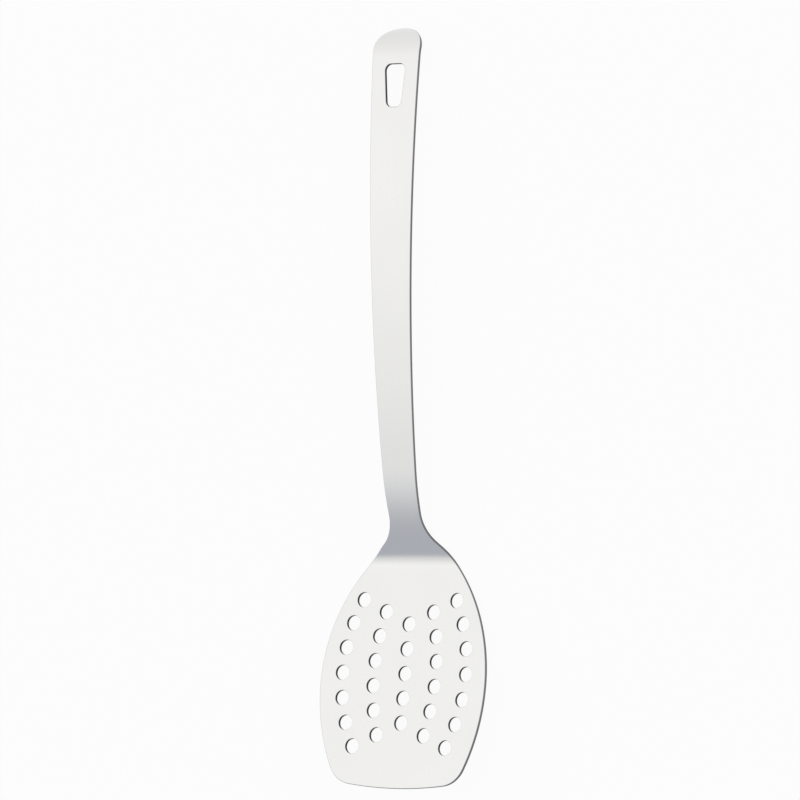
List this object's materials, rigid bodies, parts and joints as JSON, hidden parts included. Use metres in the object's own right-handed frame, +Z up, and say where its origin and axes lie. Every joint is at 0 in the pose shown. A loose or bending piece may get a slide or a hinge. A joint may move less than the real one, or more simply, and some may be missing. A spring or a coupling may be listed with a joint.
{
  "type": "frying spatula",
  "caption": "One-piece stainless frying spatula: a perforated, slightly dished blade, a steep neck and a long bowed handle with a hanging hole.",
  "frame": {"origin": "on the ground under the middle of the box around the resting spatula", "axes": "+Y runs along the spatula from the blade's front edge to the handle's end, +Z is up, and +X is to the left of whoever holds the handle with the food side up"},
  "size_m": [0.0882, 0.3469, 0.0217],
  "materials": {
    "steel": "fine satin brushed stainless, grain along the handle"
  },
  "bodies": {
    "root": {"spatula": "steel"}
  },
  "joints": []
}
